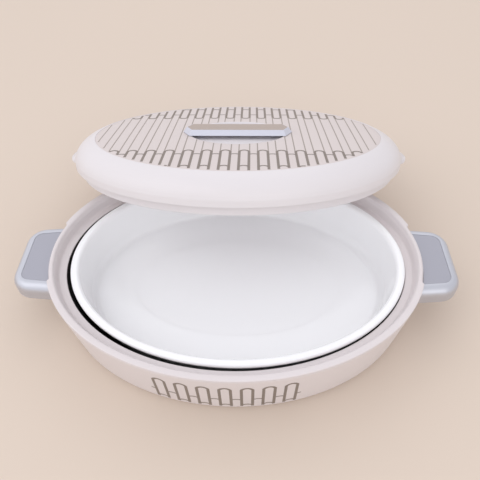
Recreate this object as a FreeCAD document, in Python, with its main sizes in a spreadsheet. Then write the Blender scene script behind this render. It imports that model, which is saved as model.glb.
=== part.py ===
"""Oval insulated chapati casserole: insulated casing, lift-out serving dish and lift-off lid.

Frame: millimetres, +Z up, +X along the length towards one handle, -Y the decorated front.
The origin is the middle of the standing face. The lid lies open, tipped on the back rim.
"""

import FreeCAD
import Part

import os
import Sketcher

doc = FreeCAD.newDocument("casserole")
sheet = doc.addObject("Spreadsheet::Sheet", "Sizes")

SIZES = [
    # Casing: the rim's outer half length and half width, and the height to its seam
    ("half_length", 190.0),
    ("half_width", 143.5),
    ("casing_height", 68.0),
    ("casing_clear", 1.2),
    ("base_inset", 8.0),
    ("base_round", 4.0),
    ("shell_wall", 2.6),
    ("seam_gap", 0.3),
    # Base cover in a rebate of the casing's bottom lip
    ("lip_thick", 2.4),
    ("lip_width", 20.0),
    ("rebate_inset", 7.0),
    ("cover_thick", 2.6),
    ("cover_sunk", 0.6),
    # Rim: bead on top, lid channel inside it, ledge at the channel's bottom
    ("bead_rise", 2.5),
    ("bead_round", 1.2),
    ("bead_skirt", 4.5),
    ("channel_inset", 7.5),
    ("channel_draft", 2.0),
    ("channel_depth", 13.0),
    ("ledge_inset", 17.0),
    ("liner_wall", 2.2),
    ("cavity_floor", 10.2),
    ("cavity_taper", 7.0),
    ("cavity_round", 9.0),
    # Finger bevel on the rim beside each handle
    ("bevel_half_width", 38.0),
    ("bevel_drop", 6.5),
    ("bevel_in", 3.2),
    # Feet let into the base cover
    ("foot_radius", 9.0),
    ("foot_height", 2.4),
    ("foot_at_x", 118.0),
    ("foot_at_y", 72.0),
    # Handles
    ("handle_reach", 34.0),
    ("handle_root_half", 45.0),
    ("handle_tip_half", 40.0),
    ("handle_top", 62.0),
    ("handle_thick", 18.5),
    ("handle_corner", 21.0),
    ("handle_edge", 8.5),
    ("handle_wall", 3.0),
    ("handle_roof", 4.6),
    ("handle_root", 25.0),
    ("inlay_border", 9.5),
    ("inlay_corner", 9.0),
    ("inlay_thick", 1.6),
    ("handle_cover_thick", 2.4),
    ("bracket_reach", 17.0),
    ("bracket_half", 25.0),
    ("handle_screw_y", 15.0),
    ("handle_screw_z", 50.3),
    ("screw_radius", 2.0),
    ("screw_head", 3.4),
    ("screw_head_thick", 2.0),
    ("screw_reach", 12.0),
    ("screw_clearance", 0.1),
    ("screw_bite", 0.05),
    ("screw_seat", 2.6),
    ("handle_low_edge", 1.5),
    ("foam_gap", 0.4),
    # Serving dish
    ("dish_half_length", 170.5),
    ("dish_half_width", 124.2),
    ("dish_shift", 1.9),
    ("dish_top", 61.0),
    ("dish_wall", 4.5),
    ("dish_rim_width", 8.0),
    ("dish_rim_thick", 4.7),
    ("dish_taper", 6.5),
    ("dish_floor_inset", 21.0),
    # Lid, in its own frame: origin in the middle of the brim's underside
    ("lid_inset", 3.0),
    ("lid_band", 8.4),
    ("lid_rise", 28.4),
    ("lid_wall", 2.6),
    ("plate_half_length", 162.0),
    ("plate_half_width", 118.4),
    ("plate_thick", 2.4),
    ("plate_crown", 1.8),
    ("plate_lip", 0.9),
    ("spigot_inset", 10.3),
    ("spigot_depth", 12.1),
    ("spigot_wall", 2.4),
    ("panel_depth", 8.5),
    ("panel_thick", 2.2),
    ("tab_reach", 6.5),
    ("tab_radius", 24.0),
    ("tab_thick", 2.8),
    # Grip: a finger well with a bar across it and a steel core rod in the bar
    ("well_half_length", 56.0),
    ("well_half_width", 42.0),
    ("well_depth", 14.0),
    ("well_taper", 6.0),
    ("well_wall", 2.0),
    ("bar_half_length", 62.5),
    ("bar_corner_at", 54.5),
    ("bar_half_width", 15.5),
    ("bar_thick", 5.6),
    ("bar_slope", 36.0),
    ("rod_radius", 1.5),
    ("rod_half_length", 40.0),
    ("rod_clearance", 0.08),
    ("rod_lift", 2.5),
    ("post_at", 41.0),
    ("post_radius", 3.5),
    ("lid_screw_radius", 1.2),
    ("lid_screw_head", 2.6),
    # Where the lid lies open
    ("lid_rest_y", 137.7),
    ("lid_rest_z", 81.5),
    ("lid_tilt", 19.0),
]
for row, (alias, value) in enumerate(SIZES, start=1):
    sheet.set(f"A{row}", alias)
    sheet.set(f"B{row}", str(value))
    sheet.setAlias(f"B{row}", alias)
doc.recompute()

SIZE_NAMES = {alias for alias, value in SIZES}
parts = []

# Heights and insets that follow from the sizes
COVER_LOW = "casing_clear + cover_sunk"
LIP_LOW = f"({COVER_LOW} + cover_thick)"
LIP_HIGH = f"({LIP_LOW} + lip_thick)"
RIM_TOP = "(casing_height + bead_rise)"
LEDGE = f"({RIM_TOP} - channel_depth)"
DISH_LOW = "(cavity_floor + seam_gap)"
PLATE_LOW = "(lid_rise - plate_thick)"
PLATE_TOP = "(lid_rise + plate_crown)"
WELL_FLOOR = f"({PLATE_TOP} - well_depth)"
BAR_LOW = f"({PLATE_TOP} + 0.5 * seam_gap)"
ROD_HEIGHT = f"({BAR_LOW} + rod_lift)"
HANDLE_LOW = "(handle_top - handle_thick)"


def bound(text):
    """Turns an expression in plain size names into one that reads the sheet."""
    words = []
    word = ""
    for letter in text + " ":
        if letter.isalnum() or letter == "_":
            word += letter
            continue
        words.append(f"Sizes.{word}" if word in SIZE_NAMES else word)
        words.append(letter)
        word = ""
    return "".join(words).strip()


def number(text):
    """The value of an expression in plain size names."""
    return float(sheet.evalExpression(bound(text)))


def bind(item, key, text, unit="mm"):
    """Binds one property of an object to the sheet."""
    item.setExpression(key, f"({bound(text)}) * 1{unit}")


def place(item, x="0", y="0", z="0"):
    """Binds an object's position to the sheet."""
    for axis, text in (("x", x), ("y", y), ("z", z)):
        bind(item, f"Placement.Base.{axis}", text)
    return item


CASING = ("half_length", "half_width")
DISH = ("dish_half_length", "dish_half_width")
PLATE = ("plate_half_length", "plate_half_width")
WELL = ("well_half_length", "well_half_width")


def oval(outline, inset, z, x="0", turn=0):
    """One oval, drawn in from an outline's half length and half width by inset."""
    ring = doc.addObject("Part::Ellipse", "Outline")
    ring.Placement.Rotation = FreeCAD.Rotation(FreeCAD.Vector(0, 0, 1), turn)
    bind(ring, "MajorRadius", f"{outline[0]} - ({inset})")
    bind(ring, "MinorRadius", f"{outline[1]} - ({inset})")
    return place(ring, x, "0", z)


def loft(name, outline, rings, x="0", turn=0):
    """A solid through ovals given as (inset, height) from the bottom up, its seam at +X or turned."""
    item = doc.addObject("Part::Loft", name)
    item.Sections = [oval(outline, inset, z, x, turn) for inset, z in rings]
    item.Solid = True
    item.Ruled = True
    return item


def cut(name, base, *tools):
    """Base less each tool in turn."""
    for tool in tools:
        step = doc.addObject("Part::Cut", name)
        step.Base = base
        step.Tool = tool
        step.Refine = False
        base = step
    return base


def fuse(name, *shapes):
    """One solid from shapes that overlap."""
    item = doc.addObject("Part::MultiFuse", name)
    item.Shapes = list(shapes)
    item.Refine = False
    return item


def common(name, *shapes):
    """What the shapes share."""
    item = doc.addObject("Part::MultiCommon", name)
    item.Shapes = list(shapes)
    item.Refine = False
    return item


def cylinder(radius, height, x="0", y="0", z="0"):
    """An upright cylinder standing on z."""
    item = doc.addObject("Part::Cylinder", "Round")
    bind(item, "Radius", radius)
    bind(item, "Height", height)
    return place(item, x, y, z)


def cylinder_along_x(radius, length, x="0", y="0", z="0"):
    """A cylinder along +X from x."""
    item = cylinder(radius, length, x, y, z)
    item.Placement.Rotation = FreeCAD.Rotation(FreeCAD.Vector(0, 1, 0), 90)
    return item


def box(low, high):
    """A block between two corners, each given as three expressions."""
    item = doc.addObject("Part::Box", "Block")
    for key, a, b in zip(("Length", "Width", "Height"), low, high):
        bind(item, key, f"({b}) - ({a})")
    return place(item, *low)


def prism(name, corners, low, height, slope="0"):
    """A block on a closed outline of (x, y) corners, its sides leaning in by slope degrees."""
    body = doc.addObject("PartDesign::Body", name)
    sketch = body.newObject("Sketcher::SketchObject", "Outline")
    plane = [f for f in body.Origin.OriginFeatures if f.Role == "XY_Plane"][0]
    sketch.AttachmentSupport = [(plane, "")]
    sketch.MapMode = "FlatFace"
    bind(sketch, "AttachmentOffset.Base.z", low)
    points = [FreeCAD.Vector(number(x), number(y), 0) for x, y in corners]
    count = len(points)
    for i in range(count):
        sketch.addGeometry(Part.LineSegment(points[i], points[(i + 1) % count]))
    for i in range(count):
        sketch.addConstraint(Sketcher.Constraint("Coincident", i, 2, (i + 1) % count, 1))
    for i, corner in enumerate(corners):
        for axis, text in zip("XY", corner):
            if number(text) == 0:
                sketch.addConstraint(Sketcher.Constraint("PointOnObject", i, 1, -1 if axis == "Y" else -2))
                continue
            size = number(text)
            row = sketch.addConstraint(Sketcher.Constraint("Distance" + axis, -1, 1, i, 1, size))
            sketch.renameConstraint(row, f"corner{i}{axis}")
            bind(sketch, f"Constraints.corner{i}{axis}", text)
    pad = body.newObject("PartDesign::Pad", "Block")
    pad.Profile = sketch
    bind(pad, "Length", height)
    if slope != "0":
        pad.TaperAngle = -1.0
        bind(pad, "TaperAngle", f"-({slope})", "deg")
    doc.recompute()
    return body, pad


def rounded(body, base, radius, pick):
    """Rounds the edges of a body's last feature that pick accepts."""
    names = [f"Edge{i}" for i, edge in enumerate(base.Shape.Edges, start=1) if pick(edge.BoundBox)]
    fillet = body.newObject("PartDesign::Fillet", "Round")
    fillet.Base = (base, names)
    bind(fillet, "Radius", radius)
    doc.recompute()
    return fillet


def keep(item, label):
    """Marks an object as a finished sub-part."""
    item.Label = label
    parts.append(item)


def keep_on_lid(item, label):
    """A finished sub-part of the lid, laid open with it."""
    whole = doc.addObject("Part::Compound", "Open")
    whole.Links = [item]
    whole.Placement.Rotation = FreeCAD.Rotation(FreeCAD.Vector(1, 0, 0), -1)
    place(whole, "0", "lid_rest_y", "lid_rest_z")
    bind(whole, "Placement.Rotation.Angle", "-lid_tilt", "deg")
    keep(whole, label)


# Casing


def wall_inset(z):
    """How far in the casing's sloping wall stands at height z."""
    return f"base_inset * (casing_height - ({z})) / (casing_height - casing_clear - base_round)"


def casing_envelope(grow):
    """The casing's outside, grown by a gap, carried up past the rim."""
    rings = [
        (f"base_inset - ({grow})", "casing_clear + base_round"),
        (f"-({grow})", "casing_height"),
        (f"-({grow})", f"{RIM_TOP} + 20"),
    ]
    return loft("Envelope", CASING, rings)


def rim_bevels():
    """The wedges that the finger bevels take off the rim at both ends.

    Each wedge's seam is turned to the far end of the oval, because the rim's own seam is at +X.
    """
    high = f"{RIM_TOP} + 5"
    low = f"{RIM_TOP} - bevel_drop"
    rings = [("0", low), ("bevel_in", RIM_TOP), ("bevel_in", f"{high} + 1")]
    wedges = []
    for start, end, turn in (("-half_length - 5", "0", 0), ("0", "half_length + 5", 180)):
        block = box((start, "-bevel_half_width", low), (end, "bevel_half_width", high))
        wedges.append(cut("Bevel", block, loft("Rim", CASING, rings, turn=turn)))
    return wedges


def handle_screw_tools(radius, head):
    """Both handles' screws, or the room for them: shank outwards from a head inside the wall."""
    shapes = []
    for side in (-1, 1):
        for y in ("handle_screw_y", "-handle_screw_y"):
            inside = f"half_length - {wall_inset('handle_screw_z')} - shell_wall - screw_seat"
            length = "screw_reach + shell_wall + screw_seat"
            start = inside if side == 1 else f"-({inside}) - ({length})"
            shank = cylinder_along_x(radius, length, start, y, "handle_screw_z")
            head_start = f"{inside} - screw_head_thick" if side == 1 else f"-({inside})"
            cap = cylinder_along_x(head, "screw_head_thick", head_start, y, "handle_screw_z")
            shapes.append((side, fuse("Screw", shank, cap)))
    return shapes


def base_screw_places():
    """The base cover's four screws, at the ends of both axes."""
    inward = "base_inset + rebate_inset + 6.5"
    return [
        (f"half_length - ({inward})", "0"),
        (f"{inward} - half_length", "0"),
        ("0", f"half_width - ({inward})"),
        ("0", f"{inward} - half_width"),
    ]


def outer_casing():
    """The decorated outside wall with its bottom lip, screw holes and finger bevels."""
    outside = loft("Outside", CASING, [
        ("base_inset + base_round", "casing_clear"),
        ("base_inset", "casing_clear + base_round"),
        ("0", "casing_height"),
    ])
    inside = loft("Inside", CASING, [
        (f"{wall_inset(LIP_HIGH)} + shell_wall", LIP_HIGH),
        ("shell_wall", "casing_height"),
        ("shell_wall", "casing_height + 1"),
    ])
    opening = loft("Opening", CASING, [
        ("base_inset + lip_width", "0"),
        ("base_inset + lip_width", f"{LIP_HIGH} + 1"),
    ])
    rebate = loft("Rebate", CASING, [
        ("base_inset + rebate_inset", "0"),
        ("base_inset + rebate_inset", LIP_LOW),
    ])
    tools = [inside, opening, rebate, *rim_bevels()]
    room = handle_screw_tools("screw_radius + screw_clearance", "screw_radius + screw_clearance")
    tools += [shape for side, shape in room]
    for x, y in base_screw_places():
        tools.append(cylinder("lid_screw_radius + screw_bite", "10", x, y, "0"))
    keep(cut("Casing", outside, *tools), "outer_casing")


def base_cover():
    """The plate that closes the underside, with pockets for the feet and screws."""
    plate = loft("Cover", CASING, [
        ("base_inset + rebate_inset + seam_gap", COVER_LOW),
        ("base_inset + rebate_inset + seam_gap", LIP_LOW),
    ])
    tools = []
    for label, x, y in foot_places():
        tools.append(cylinder("foot_radius + screw_clearance", "foot_height", x, y, "0"))
    for x, y in base_screw_places():
        tools.append(cylinder("lid_screw_radius + screw_clearance", "10", x, y, "0"))
        tools.append(cylinder("lid_screw_head + seam_gap", f"{COVER_LOW} + 1.3", x, y, "0"))
    keep(cut("Cover", plate, *tools), "base_cover")


def foot_places():
    """The five feet: one near each corner and one in the middle."""
    return [
        ("foot_front_left", "-foot_at_x", "-foot_at_y"),
        ("foot_front_right", "foot_at_x", "-foot_at_y"),
        ("foot_rear_left", "-foot_at_x", "foot_at_y"),
        ("foot_rear_right", "foot_at_x", "foot_at_y"),
        ("foot_centre", "0", "0"),
    ]


def feet():
    """Flat pads set into the cover, standing proud of it."""
    for label, x, y in foot_places():
        keep(cylinder("foot_radius", "foot_height", x, y, "0"), label)


def base_screws():
    """Four screws up through the cover's edge into the casing's lip."""
    shapes = []
    for x, y in base_screw_places():
        shank = cylinder("lid_screw_radius", f"{LIP_HIGH} - ({COVER_LOW}) - 0.4", x, y, f"{COVER_LOW} + 0.2")
        head = cylinder("lid_screw_head", "1.0", x, y, f"{COVER_LOW} + 0.2")
        shapes.append(fuse("Screw", shank, head))
    group = doc.addObject("Part::Compound", "Screws")
    group.Links = shapes
    keep(group, "base_screws")


def liner_outside(grow):
    """The liner below its bead, grown by a gap: cavity wall and channel wall."""
    wall = f"(liner_wall + {grow})"
    cavity = loft("Cavity", CASING, [
        (f"ledge_inset + cavity_taper + cavity_round - {wall}", f"cavity_floor - {wall}"),
        (f"ledge_inset + cavity_taper - {wall}", f"cavity_floor + cavity_round - {wall}"),
        (f"ledge_inset - {wall}", LEDGE),
    ])
    channel = loft("Channel", CASING, [
        (f"channel_inset + channel_draft - {wall}", f"{LEDGE} - {wall}"),
        (f"channel_inset - {wall}", f"{RIM_TOP} - 0.5 * bead_rise"),
    ])
    return fuse("LinerOutside", cavity, channel)


def inner_liner():
    """The rim bead, lid channel, ledge and cavity wall, in one moulding."""
    bead = loft("Bead", CASING, [
        ("0.1", "casing_height + 0.1"),
        ("0", f"{RIM_TOP} - bead_round"),
        ("bead_round", RIM_TOP),
    ])
    skirt = loft("Skirt", CASING, [
        ("shell_wall + seam_gap + 0.3", "casing_height - bead_skirt"),
        ("shell_wall + seam_gap", "casing_height + 0.5"),
    ])
    cavity = loft("CavityRoom", CASING, [
        ("ledge_inset + cavity_taper + cavity_round", "cavity_floor"),
        ("ledge_inset + cavity_taper", "cavity_floor + cavity_round"),
        ("ledge_inset", LEDGE),
        ("ledge_inset", f"{RIM_TOP} + 1"),
    ])
    channel = loft("ChannelRoom", CASING, [
        ("channel_inset + channel_draft", LEDGE),
        ("channel_inset", f"{RIM_TOP} - 0.8"),
        ("channel_inset - 0.9", RIM_TOP),
        ("channel_inset - 0.9", f"{RIM_TOP} + 1"),
    ])
    whole = fuse("Liner", cut("Bead", bead, *rim_bevels()), skirt, liner_outside("0"))
    keep(cut("Liner", whole, channel, cavity), "inner_liner")


def casing_insulation():
    """Foam between the casing and the liner, clear of the handle screws."""
    top = "casing_height - bead_skirt - 1.5"
    low = f"{LIP_HIGH} + 0.3"
    foam = loft("Foam", CASING, [
        (f"{wall_inset(low)} + shell_wall + foam_gap", low),
        (f"{wall_inset(top)} + shell_wall + foam_gap", top),
    ])
    deep = "half_length - 22"
    rooms = []
    for start, end in ((deep, "half_length"), ("-half_length", f"-({deep})")):
        rooms.append(box(
            (start, "-handle_screw_y - screw_head - 1.5", "handle_screw_z - screw_head - 1.5"),
            (end, "handle_screw_y + screw_head + 1.5", "casing_height"),
        ))
    keep(cut("Foam", foam, liner_outside("foam_gap"), *rooms), "casing_insulation")


# Handles


def handle_block(side, inset, corner, low, height):
    """The handle's outline drawn in by inset: a block that widens towards the casing."""
    root = f"{side} * (half_length - handle_root)"
    tip = f"{side} * (half_length + handle_reach - ({inset}))"
    corners = [
        (root, f"{-side} * (handle_root_half - ({inset}))"),
        (tip, f"{-side} * (handle_tip_half - ({inset}))"),
        (tip, f"{side} * (handle_tip_half - ({inset}))"),
        (root, f"{side} * (handle_root_half - ({inset}))"),
    ]
    body, pad = prism("Handle", corners, low, height)
    reach = abs(number(tip))

    def upright_at_tip(b):
        return b.ZLength > 0.1 and max(b.XLength, b.YLength) < 0.1 and abs(abs(b.XMin) - reach) < 0.1

    rounds = rounded(body, pad, corner, upright_at_tip)
    return body, rounds


def handle(side, name):
    """One handle: shell, top plate, underside cover, bracket and its two screws."""
    root = number("half_length - handle_root")
    body, last = handle_block(side, "0", "handle_corner", HANDLE_LOW, "handle_thick")
    top = number("handle_top")
    low = number(HANDLE_LOW)

    def beyond_root(b):
        return max(abs(b.XMin), abs(b.XMax)) > root + 0.5

    last = rounded(body, last, "handle_edge", lambda b: b.ZMin > top - 0.1 and beyond_root(b))
    rounded(body, last, "handle_low_edge", lambda b: b.ZMax < low + 0.1 and beyond_root(b))
    room = handle_block(side, "handle_wall", "handle_corner - handle_wall", f"{HANDLE_LOW} - 1",
                        "handle_thick - handle_roof + 1")[0]
    recess = handle_block(side, "inlay_border", "inlay_corner", "handle_top - inlay_thick",
                          "inlay_thick + 5")[0]
    shell = cut("HandleShell", body, room, recess, casing_envelope("seam_gap"))
    keep(shell, f"{name}_handle_shell")

    plate = handle_block(side, "inlay_border + 0.25", "inlay_corner - 0.25",
                         "handle_top - inlay_thick + 0.05", "inlay_thick - 0.2")[0]
    keep(cut("TopPlate", plate, casing_envelope("seam_gap + 0.4")), f"{name}_handle_top_plate")

    cover = handle_block(side, "handle_wall + 0.2", "handle_corner - handle_wall - 0.2",
                         f"{HANDLE_LOW} + 0.3", "handle_cover_thick")[0]
    keep(cut("UndersideCover", cover, casing_envelope("seam_gap")), f"{name}_handle_underside_cover")

    ends = ("half_length - handle_root + 3", "half_length + bracket_reach")
    if side == -1:
        ends = (f"-({ends[1]})", f"-({ends[0]})")
    block = box(
        (ends[0], "-bracket_half", f"{HANDLE_LOW} + 0.6 + handle_cover_thick"),
        (ends[1], "bracket_half", "handle_top - handle_roof - 0.3"),
    )
    holes = handle_screw_tools("screw_radius + screw_bite", "screw_radius + screw_bite")
    bracket = cut("Bracket", block, casing_envelope("0.1"), *[s for at, s in holes if at == side])
    keep(bracket, f"{name}_handle_bracket")

    screws = handle_screw_tools("screw_radius", "screw_head")
    group = doc.addObject("Part::Compound", "Screws")
    group.Links = [s for at, s in screws if at == side]
    keep(group, f"{name}_handle_screws")


# Serving dish


def serving_dish():
    """The glazed dish that lifts out: rolled rim, steep wall, rounded foot."""
    outside = loft("DishOutside", DISH, [
        ("dish_floor_inset + 3", DISH_LOW),
        ("dish_floor_inset - 3.5", f"{DISH_LOW} + 2.0"),
        ("dish_rim_width + dish_taper - 3.5", f"{DISH_LOW} + 11"),
        ("dish_rim_width - 2.4", "dish_top - dish_rim_thick + 0.5"),
    ], x="dish_shift")
    rim = loft("DishRim", DISH, [
        ("1.0", "dish_top - dish_rim_thick"),
        ("0", "dish_top - dish_rim_thick + 1.4"),
        ("0", "dish_top - 1.3"),
        ("1.2", "dish_top"),
    ], x="dish_shift")
    inside = loft("DishInside", DISH, [
        ("dish_floor_inset", f"{DISH_LOW} + dish_wall"),
        ("dish_floor_inset - 4", f"{DISH_LOW} + dish_wall + 3"),
        ("dish_rim_width + dish_taper", f"{DISH_LOW} + dish_wall + 11"),
        ("dish_rim_width", "dish_top - 1.2"),
        ("dish_rim_width - 1.2", "dish_top"),
        ("dish_rim_width - 1.2", "dish_top + 1"),
    ], x="dish_shift")
    keep(cut("Dish", fuse("DishBody", outside, rim), inside), "serving_dish")


# Lid


def lid_outline(share, inset):
    """The lid's outline, part of the way in from the brim to the plate."""
    return (
        f"(half_length - lid_inset - {inset} + "
        f"{share} * (plate_half_length + plate_lip - half_length + lid_inset))",
        f"(half_width - lid_inset - {inset} + "
        f"{share} * (plate_half_width + plate_lip - half_width + lid_inset))",
    )


# The dome's curve: share of the way in to the plate, share of the rise above the band
DOME = [(0.015, 0.0), (0.07, 0.21), (0.19, 0.44), (0.36, 0.65), (0.57, 0.82), (0.79, 0.935), (1.0, 1.0)]


def dome(inset, drop):
    """The lid's outside, or its inside when drawn in by inset and lowered by drop."""
    item = doc.addObject("Part::Loft", "Dome")
    sections = [oval(lid_outline(0, inset), "0", f"0 - {drop}")]
    for share, rise in DOME:
        height = f"lid_band + {rise} * (lid_rise - lid_band) - {drop} * {rise}"
        sections.append(oval(lid_outline(share, inset), "0", height))
    item.Sections = sections
    item.Solid = True
    item.Ruled = True
    return item


def lid_outer_shell():
    """The domed cover with its brim, finger tabs and the recess for the plate."""
    tabs = []
    for side in (-1, 1):
        at = f"{side} * (half_length - lid_inset + tab_reach - tab_radius)"
        tabs.append(cylinder("tab_radius", "tab_thick", at))
    recess = loft("Recess", PLATE, [("-seam_gap", PLATE_LOW), ("-seam_gap", f"{PLATE_TOP} + 5")])
    tools = [dome("lid_wall", "(lid_wall + plate_thick)"), recess, well_solid("well_wall + seam_gap")]
    outside = fuse("LidOutside", dome("0", "0"), *tabs)
    keep_on_lid(cut("LidShell", outside, *tools), "lid_outer_shell")


def well_solid(grow):
    """The finger well's outside, grown by a gap and carried up through the plate."""
    return loft("Well", WELL, [
        (f"well_taper - ({grow})", f"{WELL_FLOOR} - ({grow})"),
        (f"-({grow})", PLATE_LOW),
        (f"-({grow})", f"{PLATE_TOP} + 6"),
    ])


def lid_pattern_plate():
    """The crowned oval plate that carries the ornament, with the well's opening."""
    plate = loft("Plate", PLATE, [
        ("0", f"{PLATE_LOW} + 0.05"),
        ("0", "lid_rise - 0.1"),
        ("30", "lid_rise + 0.55 * plate_crown"),
        ("60", PLATE_TOP),
    ])
    keep_on_lid(cut("Plate", plate, well_solid("well_wall + seam_gap")), "lid_pattern_plate")


def lid_grip_pocket():
    """The cup under the grip bar, its rim flush with the plate."""
    cup = common("Cup", well_solid("well_wall"), box(
        ("-well_half_length - 10", "-well_half_width - 10", "0"),
        ("well_half_length + 10", "well_half_width + 10", PLATE_TOP),
    ))
    room = loft("Room", WELL, [
        ("well_taper + 4", WELL_FLOOR),
        ("well_taper - 1", f"{WELL_FLOOR} + 3"),
        ("0", f"{PLATE_TOP} - 0.5"),
        ("0", f"{PLATE_TOP} + 1"),
    ])
    holes = [
        cylinder("lid_screw_radius + screw_clearance", "10", x, "0", f"{WELL_FLOOR} - 5")
        for x in ("post_at", "-post_at")
    ]
    keep_on_lid(cut("Pocket", cup, room, *holes), "lid_grip_pocket")


def lid_grip_bar():
    """The bar across the well: six-sided, sloping in to its top, on two posts."""
    corners = [
        ("-bar_half_length", "0"),
        ("-bar_corner_at", "-bar_half_width"),
        ("bar_corner_at", "-bar_half_width"),
        ("bar_half_length", "0"),
        ("bar_corner_at", "bar_half_width"),
        ("-bar_corner_at", "bar_half_width"),
    ]
    slab = prism("Bar", corners, BAR_LOW, "bar_thick", "bar_slope")[0]
    foot = f"({WELL_FLOOR} + 0.2)"
    tall = f"{BAR_LOW} - {foot} + 1"
    posts = [cylinder("post_radius", tall, x, "0", foot) for x in ("post_at", "-post_at")]
    bore = cylinder_along_x("rod_radius + rod_clearance", "2 * rod_half_length + 0.4",
                            "-rod_half_length - 0.2", "0", ROD_HEIGHT)
    holes = [
        cylinder("lid_screw_radius + screw_bite", "7", x, "0", f"{foot} - 1") for x in ("post_at", "-post_at")
    ]
    keep_on_lid(cut("GripBar", fuse("Bar", slab, *posts), bore, *holes), "lid_grip_bar")


def grip_rod():
    """The steel rod that stiffens the bar and carries the lid's turning."""
    rod = cylinder_along_x("rod_radius", "2 * rod_half_length", "-rod_half_length", "0", ROD_HEIGHT)
    keep_on_lid(rod, "grip_rod")


def lid_screws():
    """Two screws up through the well's floor into the bar's posts."""
    head_top = f"({WELL_FLOOR} - well_wall - 0.1)"
    shapes = []
    for x in ("post_at", "-post_at"):
        shank = cylinder("lid_screw_radius", "8", x, "0", f"{head_top} - 1")
        head = cylinder("lid_screw_head", "1.6", x, "0", f"{head_top} - 1.6")
        shapes.append(fuse("Screw", shank, head))
    group = doc.addObject("Part::Compound", "Screws")
    group.Links = shapes
    keep_on_lid(group, "lid_screws")


def lid_inner_shell():
    """The underside: a flange inside the brim, the spigot and a recessed panel."""
    flange = loft("Flange", CASING, [
        ("lid_inset + lid_wall + seam_gap", "0.3"),
        ("lid_inset + lid_wall + seam_gap", "2.5"),
    ])
    spigot = loft("Spigot", CASING, [
        ("spigot_inset + 0.8", "-spigot_depth"),
        ("spigot_inset", "0.8 - spigot_depth"),
        ("spigot_inset", "2.5"),
    ])
    below = loft("Below", CASING, [
        ("spigot_inset + spigot_wall", "-spigot_depth - 1"),
        ("spigot_inset + spigot_wall", "-panel_depth"),
    ])
    above = loft("Above", CASING, [
        ("spigot_inset + spigot_wall", "panel_thick - panel_depth"),
        ("spigot_inset + spigot_wall", "3"),
    ])
    keep_on_lid(cut("InnerShell", fuse("Inner", flange, spigot), below, above), "lid_inner_shell")


def lid_insulation():
    """Foam between the lid's shells, round the well and the screws."""
    low = "panel_thick - panel_depth + 0.3"
    lower = loft("FoamLow", CASING, [
        ("spigot_inset + spigot_wall + foam_gap", low),
        ("spigot_inset + spigot_wall + foam_gap", "3.5"),
    ])
    upper = common("FoamHigh", dome("(lid_wall + foam_gap)", "(lid_wall + plate_thick + foam_gap)"), box(
        ("-half_length", "-half_width", "2.9"),
        ("half_length", "half_width", "lid_rise"),
    ))
    heads = [cylinder("lid_screw_head + 0.5", "8", x, "0", f"{WELL_FLOOR} - well_wall - 3")
             for x in ("post_at", "-post_at")]
    foam = fuse("Foam", lower, upper)
    keep_on_lid(cut("LidFoam", foam, well_solid("well_wall + foam_gap"), *heads), "lid_insulation")


outer_casing()
base_cover()
feet()
base_screws()
inner_liner()
casing_insulation()
handle(-1, "left")
handle(1, "right")
serving_dish()
grip_rod()
lid_outer_shell()
lid_pattern_plate()
lid_grip_pocket()
lid_grip_bar()
lid_inner_shell()
lid_insulation()
lid_screws()
doc.recompute()

for item in doc.Objects:
    if "Invalid" in item.State or "Error" in item.State:
        raise RuntimeError(f"{item.Name} failed: {item.State}")
for item in parts:
    if item.Shape.isNull() or not item.Shape.isValid() or not item.Shape.Solids:
        raise RuntimeError(f"{item.Label} is not a valid solid")

os.makedirs("parts", exist_ok=True)
for item in parts:
    item.Shape.exportStep(f"parts/{item.Label}.step")
    print(item.Label, len(item.Shape.Solids), round(item.Shape.Volume))
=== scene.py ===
"""Looks of the oval insulated casserole: smooth moulded shells, glazed dish, silver handles and ornament."""

from __future__ import annotations

import logging
import math
from collections.abc import Callable, Iterable
from dataclasses import dataclass
from enum import Enum

import bmesh
import bpy
from mathutils import Matrix, Vector

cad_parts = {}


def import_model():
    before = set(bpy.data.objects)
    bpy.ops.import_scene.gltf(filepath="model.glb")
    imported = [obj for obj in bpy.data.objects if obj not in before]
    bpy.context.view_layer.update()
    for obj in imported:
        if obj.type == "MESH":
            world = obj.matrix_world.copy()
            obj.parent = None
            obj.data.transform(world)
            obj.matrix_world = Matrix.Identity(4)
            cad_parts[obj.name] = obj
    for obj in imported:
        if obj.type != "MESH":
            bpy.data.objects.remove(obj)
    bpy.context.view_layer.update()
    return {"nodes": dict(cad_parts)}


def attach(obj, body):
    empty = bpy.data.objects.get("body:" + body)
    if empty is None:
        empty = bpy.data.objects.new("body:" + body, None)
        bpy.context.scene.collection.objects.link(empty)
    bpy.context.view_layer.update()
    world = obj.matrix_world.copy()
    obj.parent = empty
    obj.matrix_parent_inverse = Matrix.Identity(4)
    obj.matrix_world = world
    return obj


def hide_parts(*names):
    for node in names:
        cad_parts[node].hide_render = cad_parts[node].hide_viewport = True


LOG = logging.getLogger("casserole")
MM = 0.001
COLUMNS = 384
DISC_SIDES = 192
DISC_OVERLAP = 0.1
MERGE_METRES = 1e-7
SHORTEST_SIDE = 1e-6
CORNER_SHARE = 0.48
Point = tuple[float, float]
Point3 = tuple[float, float, float]
Colour = tuple[float, float, float]


class Body(Enum):
    """The bodies of the frame that pieces ride on."""

    CASING = "casing"
    DISH = "dish"
    LID = "lid"


class Slot(Enum):
    """The record's material slots."""

    CASING = "cream_plastic"
    LID = "lid_plastic"
    METALLISED = "silver_plastic"
    GLAZE = "glazed_porcelain"


class Look(Enum):
    """The finishes, by what wears them."""

    CASING = "casing"
    LINER = "liner"
    # Painted shade: near-black for the shadow in the gap round the dish.
    CAVITY = "cavity"
    LID = "lid"
    PLATE = "plate"
    ORNAMENT = "ornament"
    LINE = "line"
    DISH = "dish"
    SILVER = "silver"
    # The bar's silver is its own; its extra lightness is painted reflection.
    BAR = "bar"
    # Painted reflection: taupe on the grip bar's top, for the warm surroundings mirrored in it.
    BAR_INLAY = "bar_inlay"
    INLAY = "inlay"
    FOAM = "foam"
    RUBBER = "rubber"
    STEEL = "steel"


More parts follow.
